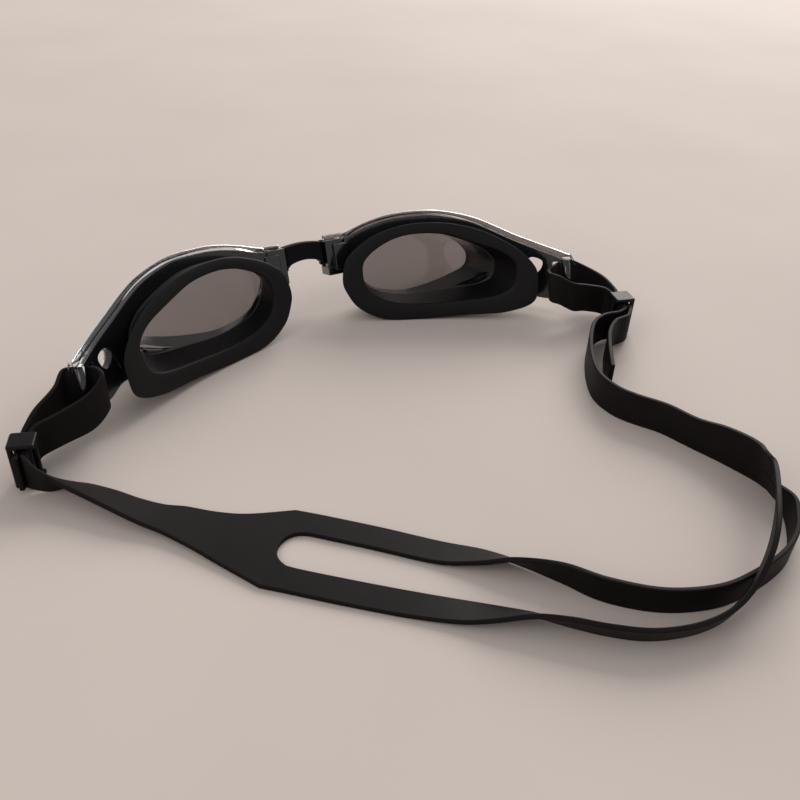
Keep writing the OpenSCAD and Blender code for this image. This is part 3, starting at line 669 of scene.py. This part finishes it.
def build_lens(bm):
    """Lens shell: pane, rounded edge and side wall, a skin over plate and wing, and a lip on the lug."""
    out = closed(LENS_OUT, 10)
    n = outward(out)
    outer_round, inner_round, wall_overlap = 1.3, 0.5, 0.02
    spine_x, spine_z, spine_share = (24, 50), 4.0, 0.12
    spine = np.stack([np.clip(out[:, 0], *spine_x), spine_z + spine_share * (out[:, 1] - spine_z)], 1)

    def shell(offset, d, bulge):
        """Rings from the middle of the pane to its edge and down the side wall, drawn in by offset."""
        edge = out - n * (offset + bulge)
        rings = [spine + (edge - spine) * f for f in (0.0, 0.25, 0.5, 0.75, 0.9, 1.0)]
        depths = [pane_y(r[:, 0], d) for r in rings]
        for a in np.radians([30, 60, 90]):
            r = out - n * (offset + bulge * (1 - math.sin(a)))
            rings.append(r)
            depths.append(pane_y(edge[:, 0], d) - bulge * (1 - math.cos(a)))
        low = out - n * offset
        foot = plate_y(low[:, 0], FIT_GAP)
        rings.append(low)
        depths.append(np.minimum(foot, depths[-1] - 0.1))
        return [stand(r, y) for r, y in zip(rings, depths)]

    rings = shell(0.0, 0.0, outer_round) + shell(SKIN_T, LENS_T, inner_round)[::-1]
    part = bmesh.new()
    first = start_loop(part, rings[0])
    last = run_on(part, first, rings[1:])
    for loop in (first, last):
        bmesh.ops.triangle_fill(part, use_beauty=True, use_dissolve=False, edges=loop_edges(part, loop))
    bmesh.ops.recalc_face_normals(part, faces=part.faces[:])
    add(bm, part)
    wing_sheet(bm, lip=0.0, depth=PLATE_T + FIT_GAP, thickness=SKIN_T, cup_hole=out + n * wall_overlap,
               slot_spare=RAIL_T - 0.4, rounding=0.25, nose_cut=LUG_X[1] + FIT_GAP)
    lip_low = (LUG_X[0] + 1.2, LUG_Y[0] + 2, LUG_Z[1] + FIT_GAP)
    lip_high = (LUG_X[0] + 9.2, LUG_Y[1] - 1, LUG_Z[1] + FIT_GAP + SKIN_T)
    box(bm, lip_low, lip_high, width=0.35)


def build_bridge(bm):
    """Arched bridge with a neck and a pin at each end."""
    foot, shoulder = LUG_X[0] - 0.4, (4.8, ARCH_Z - 0.9)
    low = opened([(-foot, BRIDGE_FOOT), (-shoulder[0], shoulder[1]), (0, ARCH_Z), shoulder,
                  (foot, BRIDGE_FOOT)], 8)
    top = opened([(foot, BRIDGE_TOP - 0.5), (3.5, BRIDGE_TOP), (0, BRIDGE_TOP + 0.2), (-3.5, BRIDGE_TOP),
                  (-foot, BRIDGE_TOP - 0.5)], 8)
    part = bmesh.new()
    prism(part, [*low, *top], [], PIN_XY[1] - BRIDGE_D / 2, PIN_XY[1] + BRIDGE_D / 2)
    round_edges(part, 0.45, 3)
    add(bm, part)
    for s in (-1, 1):
        rod(bm, PIN_D / 2, *PIN_Z, (s * PIN_XY[0], PIN_XY[1]), segments=40, rounding=0.3)
        near, far = sorted((s * (foot - 1), s * PIN_XY[0]))
        box(bm, (near, PIN_XY[1] - NECK_T / 2, BRIDGE_FOOT), (far, PIN_XY[1] + NECK_T / 2, PIN_Z[1]),
            width=0.2)


# ---- strap and buckles


UP = np.array([0.0, 0, 1])
BAR_UP = np.array([0, math.sin(LEAN), math.cos(LEAN)])
BETWEEN = unit(UP + BAR_UP)
HALF_T = STRAP_T / 2
LAYER = (STRAP_T + LAYER_GAP) / 2


def station(p, across, width=BAND_W):
    """A strap station: middle, direction across the strap, width."""
    return [*p, *unit(np.asarray(across, float)), width]


def on_edge(x, y, dz, across=UP, width=BAND_W):
    """A station with its middle dz over the strap's middle when it stands on edge on the table."""
    return station((x, y, BAND_W / 2 + dz), across, width)


def at_bar(dx, dy, dz=0.0, across=BAR_UP):
    """A station beside the right bar, raised by dz."""
    x, y, z = leaned((BAR_XY[0] + dx, BAR_XY[1] + dy, SLOT_TOP - EDGE_GAP - BAND_W / 2))
    return station((x, y, z + dz), across)


# Round a bar, from the back of the wing through its slot to the front; the right loop is wider
BAR_FRONT = [at_bar(-1.5, 2.2), at_bar(1.1, 4), at_bar(4.2, 4)]
LEFT_LOOP = [at_bar(-4.6, -3.4, -2.6, BETWEEN), at_bar(-4.3, -0.4, -0.6), *BAR_FRONT]
RIGHT_LOOP = [at_bar(-7, -6, -3.2, BETWEEN), at_bar(-8.9, -3.4, -2), at_bar(-7.8, -0.8, -1),
              at_bar(-4.6, 0.3, -0.2), *BAR_FRONT]

# Stations of a layer in its buckle, along it: the ends of the straight stretch, a little inside them, and the
# middle. The left tail ends a little beyond its stretch
STRAIGHT, INSIDE, LEFT_TAIL = BUCKLE_L / 2 + 1.6, 1.3, 1.4
STRAIGHT_AT = (STRAIGHT, STRAIGHT - INSIDE, 0, INSIDE - STRAIGHT, -STRAIGHT)


def at_buckle(side, out, back):
    """A place at a buckle, drawn as on the right: out from the head, and back toward the loop."""
    (x, y), turn = BUCKLES[side]
    c, s = math.cos(math.radians(turn)), math.sin(math.radians(turn))
    return x + back * s + out * c, y + back * c - out * s


def in_buckle(side, onward, out):
    """A station in a buckle: onward from the loop, and out from the head."""
    return station((*at_buckle(side, out, -onward), BUCKLE_H / 2), UP)


# Right end of the split, in degrees: how far the strap leans, and the way it leans, counted from x
RIGHT_LEAN, RIGHT_WAY = 22, 170


def leaning(angle, way):
    """Direction across the strap where it leans by an angle, toward the given way."""
    a, w = math.radians(angle), math.radians(way)
    return np.array([math.cos(w) * math.sin(a), math.sin(w) * math.sin(a), math.cos(a)])


def on_foot(x, y, width, angle):
    """A station of the wide right end, which stands on its lower edge and leans in."""
    u = leaning(angle, RIGHT_WAY)
    return station(np.array([x, y, HALF_T * math.sin(math.radians(angle))]) + u * width / 2, u, width)


def right_end():
    """From the wide end of the strap through the buckle and the loop to the tail."""
    edge = [(68.2, -107.8, 0), (65.2, -98.8, 0), (60.3, -90.8, 0), (58.1, -84.7, 0), (58.4, -76.7, 0),
            (63, -67.5, 0), (69.6, -58.6, 0.3), (76, -52.4, 0.7), (81.6, -50.6, 1.1), (86.8, -51.6, 1.5)]
    tail = [(88, -54.6, 1.4), (82.6, -55.2, 1.1), (77, -59, 0.7), (71.8, -65.2, 0.3), (67.3, -71.5, 0.1),
            (64.2, -76, 0.1)]
    return [on_foot(73.9, -127.6, 14.2, 14), on_foot(72.8, -122.4, 13, 7), on_foot(70.8, -115.4, 11.8, 2),
            *[on_edge(*p) for p in edge],
            *[in_buckle("right", i, -LAYER) for i in STRAIGHT_AT],
            on_edge(91.4, -37.6, 2.6), on_edge(85, -36.2, 4.4), on_edge(79.2, -36, 5.9, BETWEEN), *RIGHT_LOOP,
            on_edge(89.8, -26, 6.6, BETWEEN), on_edge(94.6, -31.6, 4), on_edge(95.4, -37.6, 2.2),
            *[in_buckle("right", -i, LAYER) for i in STRAIGHT_AT],
            *[on_edge(*p) for p in tail]]


def left_end():
    """Drawn as on the right, and mirrored later: from the flat paddle through buckle and loop to the tail."""
    return [on_edge(60.7, -88.1, -4.2, (0.66, -0.75, 0.02), 18.2),
            on_edge(66.4, -82.1, -3.96, (0.7, -0.71, 0.07), 14),
            on_edge(72, -75.8, -3.65, (0.743, -0.654, 0.139), 11.6),
            on_edge(76.4, -72, -3.3, (0.73, -0.64, 0.24), 10.4),
            on_edge(81, -67, -2.7, (0.69, -0.62, 0.37)), on_edge(86.3, -60.4, -2.1, (0.66, -0.58, 0.47)),
            on_edge(92.6, -53.8, -1.3, (0.56, -0.5, 0.66)), on_edge(98, -51.2, 0, (0.25, -0.2, 0.93)),
            *[in_buckle("left", i, -LAYER) for i in STRAIGHT_AT],
            on_edge(96.2, -37.6, 2.4), on_edge(90, -36.4, 3.6), on_edge(82, -35, 5.6, BETWEEN), *LEFT_LOOP,
            on_edge(89, -28, 6.4), on_edge(95, -32.8, 4.2), on_edge(98.2, -36.6, 2.6),
            *[in_buckle("left", i, LAYER) for i in (*reversed(STRAIGHT_AT[1:]), STRAIGHT + LEFT_TAIL)]]


# Each end of the split: middle of the strap there, way to the tip, direction across, width, length
PADDLE_TURN = math.radians(-40.9)
SPLIT_LEFT = (np.array([-47.8, -98.8, HALF_T]), np.array([-math.cos(PADDLE_TURN), -math.sin(PADDLE_TURN), 0]),
              np.array([math.sin(PADDLE_TURN), -math.cos(PADDLE_TURN), 0]), SPLIT_W, SPLIT_W / 2)
ACROSS = leaning(RIGHT_LEAN, RIGHT_WAY)
SPLIT_RIGHT = (np.array([72.6, -136, HALF_T * math.sin(math.radians(RIGHT_LEAN))])
               + ACROSS * (CLOSED_W / 2 + STRAND_W), unit(np.array([0.3, 0.95, 0])), ACROSS, CLOSED_W, 4.6)


def split_end(end, sign):
    """Stations of one strand from the tip of the split to where its full width begins."""
    middle, way, u, width, reach_out = end
    half, made = width / 2 + STRAND_W, []
    for a in np.radians([15, 35, 60, 90]):
        inside = width / 2 * math.sin(a)
        made.append(station(middle + way * reach_out * math.cos(a) + u * sign * (half + inside) / 2, u,
                            half - inside))
    return made


def split_tip(end):
    """The full width of the strap at the tip of the split."""
    middle, way, u, width, reach_out = end
    return station(middle + way * reach_out, u, width + 2 * STRAND_W)


def lean(x, y, angle, heading, dz=0.0):
    """A strand station at an angle, 0 flat and 90 on edge, with its near edge up, raised by dz."""
    b, d = math.radians(angle), math.radians(heading)
    return station((x, y, HALF_T * math.cos(b) + STRAND_W / 2 * math.sin(b) + dz),
                   (math.sin(d) * math.cos(b), -math.cos(d) * math.cos(b), math.sin(b)), STRAND_W)


def strand(sign, middle):
    """A strand from the left end of the split to the right; sign -1 is the one nearer the lenses."""
    return [*split_end(SPLIT_LEFT, sign), *middle, *split_end(SPLIT_RIGHT, sign)[::-1]]


def inner_strand():
    turn = math.degrees(PADDLE_TURN)
    return strand(-1, [lean(*p) for p in (
        (-37.4, -95.4, 0, turn), (-29, -103.2, 0, -43), (-18.2, -113.8, 3, -43), (-10.8, -120.1, 20, -42),
        (-4.5, -126.2, 50, -44), (2.6, -134.4, 78, -50), (8.4, -142.8, 90, -50), (18, -151, 90, -30),
        (30, -155.6, 90, -12), (41, -155.9, 90, 2), (52, -154.2, 90, 16), (60, -150.8, 88, 34),
        (65.6, -146.2, 86, 48), (69.6, -141.4, 85, 64))])


def outer_strand():
    middle = [lean(*p) for p in (
        (-44.8, -114.2, 0, -41), (-34, -123.4, 0, -40), (-23.6, -131.9, 8, -39), (-17, -136.9, 25, -38),
        (-10.5, -141.4, 45, -42), (-4.5, -146.8, 58, -44), (1.4, -152.2, 62, -38), (9, -157.4, 64, -26),
        (18.4, -160.4, 66, -10), (27.4, -161, 70, 4, 0.6), (34.8, -159.8, 76, 16, 3.4),
        (41.4, -157, 82, 24, 6.8))]
    return strand(1, [*middle, station((47.6, -153, 12.8), UP, STRAND_W),
                      station((55, -147, 13.6), leaning(12, 160), STRAND_W),
                      station((63, -140.2, 12.8), leaning(20, 160), STRAND_W)])


def strip(path, steps=7):
    """Four corners of the strap's section at each station of a smooth path; none goes under the table."""
    p = opened(path, steps)
    d = unit(np.vstack([p[1:], p[-1:]])[:, :3] - np.vstack([p[:1], p[:-1]])[:, :3])
    u = unit(p[:, 3:6])
    v = unit(np.cross(d, u)) * HALF_T
    u, c = u * p[:, 6:7] / 2, p[:, :3]
    rings = np.stack([c - u - v, c + u - v, c + u + v, c - u + v], 1)
    rings[..., 2] = np.maximum(rings[..., 2], 0)
    return rings


def split_loop(bm, loop):
    """Halves the two long sides of a tip's loop, and gives the loops of the inner and outer strand."""
    a, b, c, d = loop
    low = bmesh.utils.edge_split(bm.edges.get((a, b)), a, 0.5)[1]
    high = bmesh.utils.edge_split(bm.edges.get((c, d)), c, 0.5)[1]
    return [a, low, high, d], [low, b, c, high]


def build_strap(bm, corner):
    """Whole strap as one skin: both ends, and two strands that part at the tips of the split."""
    mirrored = [[-q[0], q[1], q[2], -q[3], q[4], q[5], q[6]] for q in left_end()]
    left = strip([*mirrored[::-1], split_tip(SPLIT_LEFT)])
    right = strip([split_tip(SPLIT_RIGHT), *right_end()])
    tail = start_loop(bm, left[0])
    from_loops = split_loop(bm, run_on(bm, tail, left[1:]))
    start = start_loop(bm, right[0])
    far_tail = run_on(bm, start, right[1:])
    to_loops = split_loop(bm, start)
    ends = [[v.co.copy() for v in loop] for loop in to_loops]
    for loop, path, end in zip(from_loops, (inner_strand(), outer_strand()), ends):
        run_on(bm, loop, [*strip(path), end])
    for loop in (tail, far_tail):
        fill(bm, loop)
    bmesh.ops.remove_doubles(bm, verts=bm.verts[:], dist=1e-4)
    bmesh.ops.recalc_face_normals(bm, faces=bm.faces[:])
    round_edges(bm, corner, 3)


def build_buckle(bm, rounding):
    """Slide buckle: two rails over the strap's edges, two rungs on its outer side and one on its inner."""
    gap = STRAP_T + LAYER_GAP / 2 + EDGE_GAP
    rail = (BUCKLE_H - BAND_W) / 2 - EDGE_GAP
    half_x, half_y = gap + RUNG_D, BUCKLE_L / 2
    for z in (0, BUCKLE_H - rail):
        part = block((-half_x, -half_y, z), (half_x, half_y, z + rail))
        round_edges(part, RUNG_D / 2, 6, keep=lambda e: abs((e.verts[0].co - e.verts[1].co).z) > 0.5)
        flat = {f for f in part.faces if abs(f.normal.z) > 0.9}
        rims = [e for e in part.edges if sum(f in flat for f in e.link_faces) == 1]
        bmesh.ops.bevel(part, geom=rims, offset=rounding, offset_type="OFFSET", segments=3, profile=0.5,
                        affect="EDGES", clamp_overlap=False, material=-1)
        add(bm, part)
    for x, y in ((gap + RUNG_D / 2, (BUCKLE_L - RUNG_D) / 2), (gap + RUNG_D / 2, (RUNG_D - BUCKLE_L) / 2),
                 (-gap - RUNG_D / 2, 0)):
        rod(bm, RUNG_D / 2 - RUNG_SPARE, RUNG_END, BUCKLE_H - RUNG_END, (x, y), segments=28)


# ---- settings


def length(name, description, default, low, high):
    """A length property, given in millimetres."""
    return bpy.props.FloatProperty(name=name, description=description, default=default * MM, min=low * MM,
                                   max=high * MM, unit="LENGTH", precision=4)


def colour_of(name, description, default):
    return bpy.props.FloatVectorProperty(name=name, description=description, default=default, min=0, max=1,
                                         subtype="COLOR", size=3)


class GoggleSizes(bpy.types.PropertyGroup):
    """Sizes that shape the soft pieces and the rounding of edges."""

    flange_t: length("Flange thickness", "Thickness of the flange that touches the face", 1.8, 1.2, 2.2)
    skirt_t: length("Skirt thickness", "Thickness of the skirt between flange and frame", 1.6, 1, 2)
    strap_corner: length("Strap corner", "Rounding of the strap's long edges", 0.35, 0.1, 0.6)
    buckle_edge: length("Buckle edge", "Rounding of the buckles' rims", 0.6, 0.1, 0.8)


class GoggleColours(bpy.types.PropertyGroup):
    """Colours of the finishes."""

    lens: colour_of("Lens tint", "Tint of the lens shells", (0.24, 0.215, 0.21))
    frame: colour_of("Frame", "Glossy inner frame, with bar and lug", (0.006, 0.0055, 0.007))
    gasket: colour_of("Gasket", "Matte silicone gasket", (0.0045, 0.004, 0.0042))
    bridge: colour_of("Bridge", "Nose bridge", (0.005, 0.0045, 0.005))
    strap: colour_of("Strap", "Satin silicone strap", (0.0075, 0.0058, 0.0058))
    buckle: colour_of("Buckle", "Slide buckles", (0.006, 0.0052, 0.0055))
    table: colour_of("Table", "Table top", (0.60, 0.53, 0.49))


class GoggleStage(bpy.types.PropertyGroup):
    """Strength of the lights."""

    window_light: bpy.props.FloatProperty(name="Window light", description="Power of the large light behind",
                                          default=44.0, min=0, max=200, unit="POWER")
    fill_light: bpy.props.FloatProperty(name="Fill light", description="Strength of the light all round",
                                        default=0.54, min=0, max=5)


# ---- operators


def make_cup_pair(build, label, cad_node, finish):
    """Makes a piece of both eye cups with a function that builds it upright."""
    for side, sign in SIDES.items():
        bm = bmesh.new()
        build(bm)
        place(bm, lambda p: worn(p, sign))
        finish_piece(f"{side}_{label}", bm, f"eye_cup_{side}", finish, [f"{cad_node}_{side}"])


class GOGGLES_OT_gaskets(bpy.types.Operator):
    """Build the two soft gaskets"""

    bl_idname = "goggles.gaskets"
    bl_label = "Gaskets"

    def execute(self, context):
        finish = moulded("black_silicone_gasket", context.scene.goggle_colours.gasket, rough=0.48,
                         grain_scale=2600.0, bump=0.00002, marks=0.6, dust=0.5, waviness=1.5, specular=0.2)
        for side, sign in SIDES.items():
            bm = bmesh.new()
            tube_ring(bm, [worn(ring, sign) for ring in build_gasket(context.scene.goggle_sizes)])
            finish_piece(f"{side}_soft_gasket", bm, f"eye_cup_{side}", finish,
                         [f"gasket_{side}"])
        return {"FINISHED"}


class GOGGLES_OT_frames(bpy.types.Operator):
    """Build the two glossy inner frames"""

    bl_idname = "goggles.frames"
    bl_label = "Frames"

    def execute(self, context):
        finish = moulded("glossy_black_frame", context.scene.goggle_colours.frame, rough=0.16,
                         grain_scale=1800.0, bump=0.000004, marks=0.5, dust=0.3, coat=0.5)
        make_cup_pair(build_frame, "inner_frame", "frame", finish)
        return {"FINISHED"}


class GOGGLES_OT_lenses(bpy.types.Operator):
    """Build the two smoke-tinted lens shells"""

    bl_idname = "goggles.lenses"
    bl_label = "Lenses"

    def execute(self, context):
        finish = smoke_glass(context.scene.goggle_colours.lens)
        make_cup_pair(build_lens, "lens_shell", "lens", finish)
        return {"FINISHED"}


class GOGGLES_OT_bridge(bpy.types.Operator):
    """Build the nose bridge"""

    bl_idname = "goggles.bridge"
    bl_label = "Nose Bridge"

    def execute(self, context):
        finish = moulded("satin_bridge", context.scene.goggle_colours.bridge, rough=0.45,
                         grain_scale=2400.0, bump=0.00001, marks=0.4, dust=0.2, specular=0.08)
        bm = bmesh.new()
        build_bridge(bm)
        place(bm, worn)
        finish_piece("nose_bridge_arch", bm, "bridge", finish, ["nose_bridge"])
        return {"FINISHED"}


class GOGGLES_OT_strap(bpy.types.Operator):
    """Build the split head strap"""

    bl_idname = "goggles.strap"
    bl_label = "Strap"

    def execute(self, context):
        finish = moulded("satin_silicone_strap", context.scene.goggle_colours.strap, rough=0.52,
                         grain_scale=2600.0, bump=0.000012, marks=0.6, dust=0.4, waviness=1.2, specular=0.09)
        bm = bmesh.new()
        build_strap(bm, context.scene.goggle_sizes.strap_corner / MM)
        place(bm, laid)
        finish_piece("split_head_strap", bm, "strap", finish, ["strap"])
        return {"FINISHED"}


class GOGGLES_OT_buckles(bpy.types.Operator):
    """Build the two slide buckles"""

    bl_idname = "goggles.buckles"
    bl_label = "Buckles"

    def execute(self, context):
        finish = moulded("satin_buckle", context.scene.goggle_colours.buckle, rough=0.34,
                         grain_scale=2000.0, bump=0.000006, marks=0.4, dust=0.15, specular=0.12)
        for side, sign in SIDES.items():
            bm = bmesh.new()
            build_buckle(bm, context.scene.goggle_sizes.buckle_edge / MM)
            x, y = at_buckle(side, *np.array([v.co[:2] for v in bm.verts], float).T)
            place(bm, lambda p: laid(np.stack([sign * x, y, p[:, 2]], 1)))
            finish_piece(f"{side}_slide_buckle", bm, f"buckle_{side}", finish,
                         [f"buckle_{side}"])
        return {"FINISHED"}


class GOGGLES_OT_stage(bpy.types.Operator):
    """Set up the table, the lights and the camera"""

    bl_idname = "goggles.stage"
    bl_label = "Table, Lights and Camera"

    def execute(self, context):
        scene, look, stage = context.scene, context.scene.goggle_colours, context.scene.goggle_stage
        bm = bmesh.new()
        bmesh.ops.create_grid(bm, x_segments=1, y_segments=1, size=TABLE_HALF,
                              matrix=Matrix.Translation((0, 0, -TABLE_DROP)))
        mesh = bpy.data.meshes.new("table_top")
        bm.to_mesh(mesh)
        bm.free()
        mesh.materials.append(table_top(look.table))
        table = bpy.data.objects.new("table_top", mesh)
        scene.collection.objects.link(table)

        scene.world = bpy.data.worlds.new("room_light")
        scene.world.use_nodes = True
        room = scene.world.node_tree.nodes["Background"]
        room.inputs["Color"].default_value = ROOM_TINT
        room.inputs["Strength"].default_value = stage.fill_light
        for name, at, size, share, tint in LAMPS:
            lamp = bpy.data.lights.new(name, "AREA")
            lamp.size, lamp.energy, lamp.color = size, stage.window_light * share, tint
            holder = bpy.data.objects.new(name, lamp)
            holder.location = at
            holder.rotation_euler = Vector(at).to_track_quat("Z", "Y").to_euler()
            scene.collection.objects.link(holder)

        camera = bpy.data.cameras.new("camera")
        camera.lens, camera.sensor_width = CAMERA_LENS, CAMERA_SENSOR
        camera.clip_start, camera.clip_end = CAMERA_CLIP
        eye = bpy.data.objects.new("camera", camera)
        axes = Matrix((CAMERA_RIGHT, CAMERA_UP, -Vector(CAMERA_AHEAD))).transposed()
        eye.matrix_world = Matrix.Translation(laid(CAMERA_AT)) @ axes.to_4x4()
        scene.collection.objects.link(eye)
        scene.camera = eye
        scene.view_settings.view_transform = "Standard"
        return {"FINISHED"}


OPERATORS = (GOGGLES_OT_stage, GOGGLES_OT_strap, GOGGLES_OT_gaskets, GOGGLES_OT_frames, GOGGLES_OT_lenses,
             GOGGLES_OT_bridge, GOGGLES_OT_buckles)


class GOGGLES_PT_panel(bpy.types.Panel):
    """Lists the settings and the pieces"""

    bl_idname = "GOGGLES_PT_panel"
    bl_label = "Swimming Goggles"
    bl_space_type = "VIEW_3D"
    bl_region_type = "UI"
    bl_category = "Goggles"

    def draw(self, context):
        for group in (context.scene.goggle_sizes, context.scene.goggle_colours, context.scene.goggle_stage):
            column = self.layout.column(align=True)
            for key in group.bl_rna.properties.keys():
                if key not in ("rna_type", "name"):
                    column.prop(group, key)
        for made in OPERATORS:
            self.layout.operator(made.bl_idname)


CLASSES = (GoggleSizes, GoggleColours, GoggleStage, *OPERATORS, GOGGLES_PT_panel)


def register():
    for made in CLASSES:
        bpy.utils.register_class(made)
    bpy.types.Scene.goggle_sizes = bpy.props.PointerProperty(type=GoggleSizes)
    bpy.types.Scene.goggle_colours = bpy.props.PointerProperty(type=GoggleColours)
    bpy.types.Scene.goggle_stage = bpy.props.PointerProperty(type=GoggleStage)


def unregister():
    for key in ("goggle_sizes", "goggle_colours", "goggle_stage"):
        delattr(bpy.types.Scene, key)
    for made in reversed(CLASSES):
        bpy.utils.unregister_class(made)


def main():
    """Builds everything, and stops with an error if a piece isn't built."""
    register()
    for made in OPERATORS:
        group, name = made.bl_idname.split(".")
        if getattr(getattr(bpy.ops, group), name)() != {"FINISHED"}:
            raise RuntimeError(f"{made.bl_label} wasn't built")


if __name__ == "__main__":
    main()
